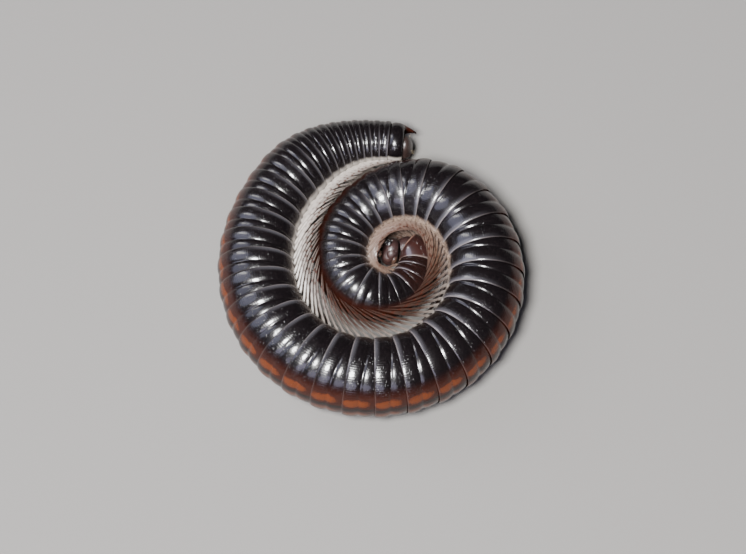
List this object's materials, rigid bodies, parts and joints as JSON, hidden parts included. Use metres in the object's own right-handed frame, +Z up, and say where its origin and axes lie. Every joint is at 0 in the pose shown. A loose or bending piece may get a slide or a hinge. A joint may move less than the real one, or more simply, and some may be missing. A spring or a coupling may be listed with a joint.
{
  "type": "striped millipede",
  "caption": "Still life-size model of a striped millipede at rest, coiled flat on its side with its head in the middle and its legs in the groove of the coil.",
  "frame": {"origin": "Middle of the coil's outline seen from above, on the floor that the animal lies on.", "axes": "+Z is up, and the animal's left side faces up. +Y and +X lie in the plane of the coil. +Y is the longest side and points to the tail end at the top of the picture."},
  "size_m": [0.0124, 0.0132, 0.0033],
  "materials": {
    "ring_shell": "glossy near-black chitin, with a pale rear margin on each ring",
    "stripe": "orange-tan patches under clear glossy chitin",
    "leg_shell": "thin brown-grey chitin, paler at the joints",
    "collum_shell": "smooth glossy red-brown chitin",
    "head_shell": "smooth dark red-brown chitin",
    "eye_shell": "glossy black lenses in rows",
    "feeler_shell": "satin brown chitin with short pale hairs"
  },
  "bodies": {
    "root": {"head": "head_shell", "eye_left": "eye_shell", "eye_right": "eye_shell", "antenna_left": "feeler_shell", "antenna_right": "feeler_shell", "collum": "collum_shell", "trunk_01": "ring_shell", "trunk_02": "ring_shell", "trunk_03": "ring_shell", "trunk_04": "ring_shell", "trunk_05": "ring_shell", "trunk_06": "ring_shell", "trunk_07": "ring_shell", "trunk_08": "ring_shell", "trunk_09": "ring_shell", "trunk_10": "ring_shell", "telson": "ring_shell", "anal_valve_left": "ring_shell", "anal_valve_right": "ring_shell"}
  },
  "joints": []
}
